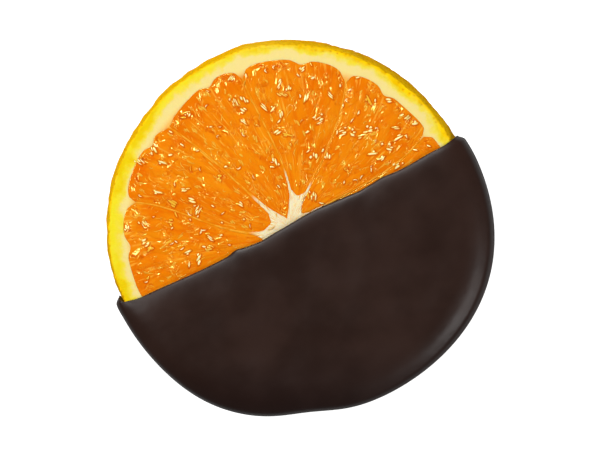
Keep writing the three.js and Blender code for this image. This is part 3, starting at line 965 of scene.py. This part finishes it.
finish_material(
    look, Base_Color=colour, Normal=look.bump(fibre, 0.5, 0.12),
    Roughness=look.ramp(depth, 0.2, 2.5, 0.42, 0.6),
    Specular_IOR_Level=0.0, Coat_Weight=0.03, Coat_Roughness=0.2,
    Subsurface_Weight=0.2, Subsurface_Radius=(1.0, 0.6, 0.2), Subsurface_Scale=0.8 * MM,
)

# %% [markdown]
# ## Peel: pores and fibres
# Oil glands make small pits all over the rind, about one to a millimetre. A bump in the material would
# leave the rind's edge smooth, so the tree scatters their centres over the rind and presses each point in
# by its distance to the nearest one. Elsewhere it gives the pith a soft unevenness, and the core the look
# of pulled fibres.

# %% Node tree for the peel
PORE_DENSITY = 1.6e6
PEEL_SIZES = {
    "Pore Spacing": 0.75, "Pore Width": 0.38, "Pore Depth": 0.13,
    "Pith Relief": 0.16, "Fibre Relief": 0.35, "Seed": 3,
}
pores, size, result = new_tree("pores and fibres", PEEL_SIZES)
flow = pores.named("flow", "FLOAT_VECTOR")
rind, face_up, white = (pores.named(name) for name in ("rind", "face_up", "white"))
place = pores.first("GeometryNodeInputPosition")
chosen = pores.first("FunctionNodeCompare", {0: rind, 1: 0.3}, data_type="FLOAT", operation="GREATER_THAN")
glands = pores.poisson(
    size["Geometry"], size["Pore Spacing"], Selection=chosen, Density_Max=PORE_DENSITY, Seed=size["Seed"])
nearest = pores.put("GeometryNodeProximity", {0: glands}, target_element="POINTS").outputs["Distance"]
pit = pores.ramp(pores.math("DIVIDE", nearest, MM), size["Pore Width"], 0.0)
press = pores.times(pit, rind, size["Pore Depth"])
press = pores.math("SUBTRACT", press, pores.times(pores.waver(place, 330.0), 0.75, rind))
inwards = pores.first("ShaderNodeVectorMath", {
    0: pores.first("GeometryNodeInputNormal"), "Scale": pores.times(press, -MM)}, operation="SCALE")
pith = pores.waver(pores.stretched(flow, 1.0, 0.6), 0.9, 3.0)
fibres = pores.waver(pores.stretched(flow, 3.0, 0.35), 1.0)
up = pores.math(
    "ADD", pores.times(pith, size["Pith Relief"]), pores.times(fibres, white, size["Fibre Relief"]))
offset = pores.vector("ADD", inwards, pores.from_axes(z=pores.times(up, face_up, MM)))
marked = pores.stored(size["Geometry"], "pit", pores.times(pit, rind))
pressed = pores.first("GeometryNodeSetPosition", {"Geometry": marked, "Offset": offset})
finish_tree(pores, pressed, size, result)

# %% [markdown]
# ## Peel, walls and core as one piece
# They have grown together, so they are one closed piece: the round slice with ten pockets cut through it.
# Cutting with booleans would leave long thin triangles, so the plan is filled with the pockets as holes
# instead.

# %% Make the peel
RIND_STEP = 0.18
PEEL_STEP = 0.15
UNDER_STEP = 0.4
POCKET_STEPS = (0.14, 0.5)  # along a pocket's edge on the bare side, and under the chocolate
POCKET_HEIGHTS = (FACE - 0.15, FACE - 1, 3.9, COAT_UNDER + 1)
RIM_LEVELS = 32
WALL_LIFT = 0.07  # the cut walls stand this far above the face
CORE_REACH = 6.5
CORE_FADE = 2.5
# Swells of a width round the slice: the angle, its spread, and how much wider it is there
ZEST_RUNS = [(22, 30, 0.65), (52, 22, 0.4), (182, 20, -0.05)]
YELLOW_RUNS = [(150, 38, 1.3), (98, 14, 0.35), (36, 14, 0.35), (73, 12, -0.35)]
CORE_RUNS = [(66, 9, 3.0), (39, 9, 1.2), (112, 10, 1.0), (165, 14, -0.8)]


def rind_outline():
    """Angles round the rind: close together on the bare half, wider under the chocolate."""
    fine = np.degrees(RIND_STEP / RIND_RADIUS)
    return np.concatenate([np.arange(-4, 184, fine), np.arange(184, 356, 4 * fine)])


def zest_width(angle):
    """The golden zest is widest on the side where the cut runs slanting through it."""
    return 0.35 + swells(ZEST_RUNS, angle)


def yellow_reach(angle):
    """The yellow layer under the zest reaches deepest at the left of the photo."""
    return 1.0 + swells(YELLOW_RUNS, angle)


rim_angles = rind_outline()
pockets = [
    segment_outline(index, 0, POCKET_STEPS[0 if index in BARE_SEGMENTS else 1])[::-1]
    for index in range(len(SEGMENTS))
]
top_rim = polar(rind_radius(rim_angles, SLICE_THICKNESS) - RIND_EDGE, rim_angles)
under_rim = polar(rind_radius(rim_angles, 0) - RIND_EDGE, rim_angles)
loops = [top_rim, *pockets]
top, top_faces = fill_plan(loops, plan_points(loops, PEEL_STEP, 0.8))
under_loops = [under_rim, *pockets]
under, under_faces = fill_plan(under_loops, plan_points(under_loops, UNDER_STEP, 0.9))
corner = np.radians([15, 35, 55, 75, 90])
bevel = RIND_EDGE * (1 - np.sin(corner)), RIND_EDGE * (1 - np.cos(corner))
straight = np.linspace(SLICE_THICKNESS - RIND_EDGE, RIND_EDGE, RIM_LEVELS)[1:-1]
heights = np.concatenate([SLICE_THICKNESS - bevel[1], straight, bevel[1][::-1]])
draw_in = np.concatenate([bevel[0], np.zeros(len(straight)), bevel[0][::-1]])
rim_rings = [
    upright(polar(rind_radius(rim_angles, height) - inset, rim_angles), COAT_UNDER + height)
    for height, inset in zip(heights, draw_in)
]
rings = [rim_rings] + [[upright(loop, z) for z in POCKET_HEIGHTS] for loop in pockets]
wall_lift = WALL_LIFT * smoothstep(FLESH_RADIUS - np.hypot(*top.T), -0.5, 2.5) * bareness(top)
points, faces = closed_slice(
    loops, upright(top, FACE + wall_lift), top_faces, upright(under, COAT_UNDER), under_faces, rings)
print("points in the peel:", len(points))

# %% What the peel's points store
radius, angle = radius_and_angle(points)
angle %= 360
rind_depth = np.maximum(0, rind_radius(angle, points[:, 2] - COAT_UNDER) - radius)
is_top = np.arange(len(points)) < len(top)
is_under = ~is_top & (np.arange(len(points)) < len(top) + len(under))
round_slice = np.radians((angle + 90) % 360 - 180) * FLOW_RADIUS
zest = rind_depth / zest_width(angle)
white_reach = CORE_REACH + swells(CORE_RUNS, angle)
rind = np.where(is_top | is_under, 1 - smoothstep(zest, 0.8, 1.3), 1.0)
rind[rind_depth > 4] = 0  # the pockets' sides are no rind
shows = bareness(points)
lift = np.where(is_top, shows, np.where(is_under, -0.4 * shows, 0))
points[:, 2] -= droop(points[:, 1])
peel = make_piece(
    "peel", points, faces,
    flow=upright(np.column_stack([round_slice, radius]), 0),
    rind_depth=rind_depth,
    zest=zest,
    yellow=rind_depth - yellow_reach(angle),
    membrane=smoothstep(FLESH_RADIUS - radius, 0.2, 2.5),
    white=1 - smoothstep(radius, white_reach, white_reach + CORE_FADE),
    rind=rind * smoothstep(points[:, 1], -3, -1),
    face_up=lift * smoothstep(rind_depth, 0.2, 0.6),
)
run_tree(peel, pores.tree, Material=peel_finish)
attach(peel, "root")
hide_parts("peel_and_core")
print("faces in the peel:", len(peel.data.polygons))

# %% [markdown]
# ## Chocolate: its finish
# Set dark chocolate is nearly black-brown with a satin skin. Its surface is never quite even: it has faint
# clouds where the cocoa butter set, and a soft grain that breaks up reflections. Towards one corner it is
# painted darker, a painted shade. The clouds change the roughness too, because a skin of one even gloss would
# look like plastic.

# %% Material of the chocolate
DARK = (0.019, 0.0085, 0.006)
CLOUD = (0.026, 0.0115, 0.008)
PAINTED_SHADE_BROWN = (0.008, 0.004, 0.004)
coat_finish, look = new_material("dark chocolate")
place = look.put("ShaderNodeTexCoord").outputs["Object"]
clouds = look.noise(place, 90.0, 3.0)
# Painted shade: the chocolate is made darker towards one corner.
to_shaded_corner = look.vector("DOT_PRODUCT", place, (0.4, 1.0, 0.0))
colour = look.layers(
    DARK,
    (look.ramp(clouds, 0.35, 0.7), CLOUD),
    (look.ramp(to_shaded_corner, -24 * MM, -38 * MM, 0.0, 0.5), PAINTED_SHADE_BROWN),
)
skin = look.math("MULTIPLY_ADD", look.noise(place, 900.0), 0.08, look.noise(place, 160.0))
finish_material(
    look, Base_Color=colour, Normal=look.bump(skin, 0.35, 0.3),
    Roughness=look.ramp(clouds, 0.3, 0.7, 0.32, 0.40), Specular_IOR_Level=0.18,
)

# %% [markdown]
# ## The chocolate coat
# The dip leaves one skin over face, rim and underside, thicker at the rim where it gathered, with a
# rounded lip along the dip line. It is lofted from the plans of its levels, smoothed between them, and the
# fruit's own shape is then taken away from it, which leaves a shell that is open where the fruit comes
# out.

# %% Make the coat
LEFT_END = 175.7
RIGHT_END = 361.2
ROUND_RIM = 320
ALONG_EDGE = 330
RIM_COAT = 1.1
TOP_WAVE = 0.12
COAT_RINGS = 44
TOP_RINGS = 46
RING_CROWDING = 0.8
TIP_TAPER, TIP_ROUND = 0.25, 0.7
THIN_AT_LIP, THIN_AT_CORNER, THIN_OVER = 0.48, 0.25, 1.4
CUT_IN = 0.1  # the fruit that is cut out is this much smaller, so the coat grips it
CREASE_ANGLE = 48
# A level's height, and how far it draws in from the rim, spread under the fruit and draws back at the lip
COAT_LEVELS = np.array([
    (0, 0.9, 1.3, 0),
    (0.45, 0.15, 1.6, 0),
    (3.2, 0, 0, 0),
    (5.6, 0.25, 0, 0),
    (6.7, 0.85, 0, 0),
    (7.2, 1.75, 0, 0.02),
    (7.66, 2.95, 0, 0.06),
    (7.95, 4.3, 0, 0.12),
    (TOP, 6.2, 0, 0.15),
])


def smooth_levels(levels, count):
    """More levels between the given ones, on a smooth curve through them that ends level."""
    at = np.concatenate([[0], np.cumsum(np.hypot(*np.diff(levels[:, :2], axis=0).T))])
    slope = np.gradient(levels, at, axis=0)
    slope[-1, 0] = 0.0
    wanted = np.linspace(0, at[-1], count)
    k = np.clip(np.searchsorted(at, wanted, side="right") - 1, 0, len(at) - 2)
    gap = (at[k + 1] - at[k])[:, None]
    t = (wanted - at[k])[:, None] / gap
    start = (1 + 2 * t) * (1 - t) ** 2 * levels[k] + t * (1 - t) ** 2 * gap * slope[k]
    return start + t**2 * (3 - 2 * t) * levels[k + 1] + t**2 * (t - 1) * gap * slope[k + 1]


def coat_ring(height, inset, spread, lip):
    """The coat's plan at a level: round the rim and back along the dip line. It is drawn in from the rim by
    the inset, spread out under the fruit, and drawn back at the lip."""
    even = np.linspace(0, 1, ROUND_RIM)
    share = even - RING_CROWDING * np.sin(2 * np.pi * even) / (2 * np.pi)  # closest together at both ends
    from_end = 21 * np.minimum(share, 1 - share)
    angle = LEFT_END + (RIGHT_END - LEFT_END) * share
    tip = TIP_TAPER * np.maximum(0, 1 - from_end) ** 2 + TIP_ROUND * np.maximum(0, 1 - 5 * from_end) ** 2
    reach = RIND_RADIUS + RIM_COAT + swells(COAT_RUNS, angle) - tip
    rim = polar(reach - inset, angle)
    rim[:, 1] = np.minimum(rim[:, 1], coat_edge(rim[:, 0]) - lip * np.maximum(0, 1 - 0.5 * from_end))
    x = np.linspace(rim[-1, 0], rim[0, 0], ALONG_EDGE + 2)[1:-1]
    under_fruit = np.maximum(0, 1 - (x / (RIND_RADIUS - 2)) ** 4)
    ring = np.vstack([rim, np.column_stack([x, coat_edge(x) + spread * under_fruit - lip])])
    return upright(ring, height)


def lofted(name, rings, low, high):
    """A closed piece through rings of points, closed on one point below and one above."""
    count = len(rings[0])
    around = np.arange(count)
    points = np.vstack([*rings, [low], [high]])
    faces = []
    for k in range(len(rings) - 1):
        faces += band(around + (k + 1) * count, around + k * count).tolist()
    last = (len(rings) - 1) * count
    onwards = np.roll(around, -1)
    faces += np.column_stack([np.full(count, len(points) - 2), onwards, around]).tolist()
    faces += np.column_stack([np.full(count, len(points) - 1), last + around, last + onwards]).tolist()
    return make_piece(name, points, faces)


def coat_top(x, y):
    soft = 0.05 * np.sin(x / 3.1 + 0.4 * y) * np.sin(y / 2.6 + 0.8) + 0.03 * np.sin(x / 1.7 - y / 2.3 + 2)
    return TOP + TOP_WAVE * np.sin(x / 5.5 + 1) * np.sin(y / 4.5) + soft


def thin_at_lip(x, y, z):
    """The coat thins out towards the dip line."""
    inwards = coat_edge(x) - y
    corner = smoothstep(-x, 24, 34)
    fade = np.exp(-np.maximum(0, inwards) / (THIN_OVER + 0.8 * corner))
    thinned = (THIN_AT_LIP + THIN_AT_CORNER * corner) * fade
    return np.where(z > FACE, FACE + (z - FACE) * (1 - thinned), z)


print("tools for the coat ready")

# %% Loft the coat
rings = [coat_ring(*level) for level in smooth_levels(COAT_LEVELS, COAT_RINGS)]
centre = np.array([0, -RIND_RADIUS * 0.45])
rim_low, rim_high = rings[0][:, :2], rings[-1][:, :2]
below = [upright(centre + (rim_low - centre) * scale, 0) for scale in (0.25, 0.5, 0.75, 0.93)]
above = []
for scale in np.linspace(1, 0, TOP_RINGS)[1:-1]:
    across = centre + (rim_high - centre) * scale
    settle = smoothstep(1 - scale, 0, 0.25)
    above.append(upright(across, TOP + (coat_top(*across.T) - TOP) * settle))
for ring in rings + above:
    ring[:, 2] = thin_at_lip(*ring.T)
coat = lofted("coat", below + rings + above, [*centre, 0], [*centre, coat_top(*centre)])
print("lofted coat:", len(coat.data.polygons), "faces")

# %% Cut the fruit out of the coat
around = np.arange(0, 360, 1.5)
levels = [
    (CUT_IN, RIND_EDGE), (RIND_EDGE + CUT_IN, 0), (3, 0), (SLICE_THICKNESS - RIND_EDGE - CUT_IN, 0),
    (SLICE_THICKNESS - CUT_IN, RIND_EDGE),
]
fruit_rings = [
    upright(polar(rind_radius(around, height) - inset - CUT_IN, around), COAT_UNDER + height)
    for height, inset in levels
]
fruit = lofted("fruit", fruit_rings, [0, 0, COAT_UNDER + CUT_IN], [0, 0, FACE - CUT_IN])
cut = coat.modifiers.new("fruit", "BOOLEAN")
cut.operation = "DIFFERENCE"
cut.object = fruit
cut.solver = "MANIFOLD"
keep_result(coat, cut)
shell = coat.data
shell.materials.clear()
shell.materials.append(coat_finish)
shell.shade_smooth()
shell.set_sharp_from_angle(angle=math.radians(CREASE_ANGLE))
bpy.data.objects.remove(fruit)
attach(coat, "root")
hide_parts("chocolate_coat")
print("faces in the coat:", len(shell.polygons))

# %% [markdown]
# ## Floor
# The sweet lies on a plain white table. The photo shows the table pure white, without a shadow, so only
# the camera sees it glow: a floor that glowed for all light would wash out the sweet from below.

# %% Make the floor
FLOOR_SIDE = 3000.0
floor_finish, look = new_material("white table")
seen = look.put("ShaderNodeLightPath").outputs["Is Camera Ray"]
finish_material(
    look, Base_Color=(0.4, 0.4, 0.4, 1), Roughness=0.8,
    Emission_Color=(1, 1, 1, 1), Emission_Strength=look.ramp(seen, 0.0, 1.0),
)
corners = np.array([(-1, -1, 0), (1, -1, 0), (1, 1, 0), (-1, 1, 0)]) * FLOOR_SIDE / 2
floor = make_piece("floor", corners, [(0, 1, 2, 3)])
floor.data.materials.append(floor_finish)
print("floor:", FLOOR_SIDE / 1000, "m across")

# %% [markdown]
# ## Light
# A soft dome that is dimmer overhead than at its sides keeps the flat chocolate dark and lets its
# shoulders shine. Three round lamps put the sharp glints on the wet flesh and the lip: one at the back and
# a little to the left, one at the left, and one at the right in front. One lamp alone would leave the
# glints of two sides out.

# %% Make the lights
TURN = math.radians(26.8)  # the photo is turned this far from the slice's own axes
# A lamp's name, its angle in the photo (0 is to its right and 90 to its top), its elevation, width and power
LAMPS = [("key", 115, 51, 0.16, 2.2), ("side", 166, 55, 0.14, 1.4), ("fill", -33, 44, 0.24, 1.5)]
LAMP_DISTANCE = 0.6

world = bpy.data.worlds.new("studio")
bpy.context.scene.world = world
world.use_nodes = True
sky = Recipe(world.node_tree)
up = sky.axes(sky.put("ShaderNodeTexCoord").outputs["Generated"])[2]
glow = sky.ramp(up, 0.1, 0.85, 0.3, 0.02)
sky.fill(sky.tree.nodes["Background"], {"Color": (1, 1, 1, 1), "Strength": glow})

for name, photo_angle, elevation, width, power in LAMPS:
    light = bpy.data.lights.new(name, "AREA")
    light.shape = "DISK"
    light.size = width
    light.energy = power
    lamp = bpy.data.objects.new(name, light)
    bpy.context.scene.collection.objects.link(lamp)
    azimuth = math.radians(photo_angle) - TURN
    rise = math.radians(elevation)
    way = Vector((math.cos(azimuth) * math.cos(rise), math.sin(azimuth) * math.cos(rise), math.sin(rise)))
    lamp.location = way * LAMP_DISTANCE
    lamp.rotation_euler = way.to_track_quat("Z", "Y").to_euler()
print("lights:", [lamp[0] for lamp in LAMPS])

# %% [markdown]
# ## Camera
# The photo looks almost straight down, with the dip line rising to the right, and leans a few degrees to
# the upper right. A long lens from far off keeps the round slice from swelling towards the camera.

# %% Make the camera
TILT = math.radians(4)
TILT_TOWARDS = math.radians(50) - TURN
LENS = 300.0
SENSOR = 36.0
PIXEL = 0.19386  # millimetres
PIXEL_HEIGHT = 3.0  # a pixel is that wide at this height
PHOTO_SIZE = (600, 450)
SLICE_AT = (291.8, 225.4)  # the slice's middle, in pixels from the photo's upper left corner

camera_data = bpy.data.cameras.new("camera")
camera_data.lens = LENS
camera_data.sensor_width = SENSOR
camera_data.clip_start = 0.01
camera = bpy.data.objects.new("camera", camera_data)
bpy.context.scene.collection.objects.link(camera)
bpy.context.scene.camera = camera
across = (PHOTO_SIZE[0] / 2 - SLICE_AT[0]) * PIXEL
along = (SLICE_AT[1] - PHOTO_SIZE[1] / 2) * PIXEL
right = Vector((math.cos(TURN), -math.sin(TURN), 0))
aim = across * right + along * Vector((math.sin(TURN), math.cos(TURN), 0))
back = Vector((
    math.sin(TILT) * math.cos(TILT_TOWARDS), math.sin(TILT) * math.sin(TILT_TOWARDS), math.cos(TILT)))
distance = PHOTO_SIZE[0] * PIXEL * LENS / SENSOR + PIXEL_HEIGHT
right = (right - back * right.dot(back)).normalized()
upwards = back.cross(right)
camera.matrix_world = Matrix(
    [[right[k], upwards[k], back[k], (aim[k] + back[k] * distance) * MM] for k in range(3)] + [[0, 0, 0, 1]])
bpy.context.view_layer.update()
print("camera", round(distance), "mm away")

# %% [markdown]
# ## Looks on the screen
# The plain Standard view keeps the colours as they are mixed here.

# %% Set the view
bpy.context.scene.view_settings.view_transform = "Standard"
bpy.context.view_layer.update()
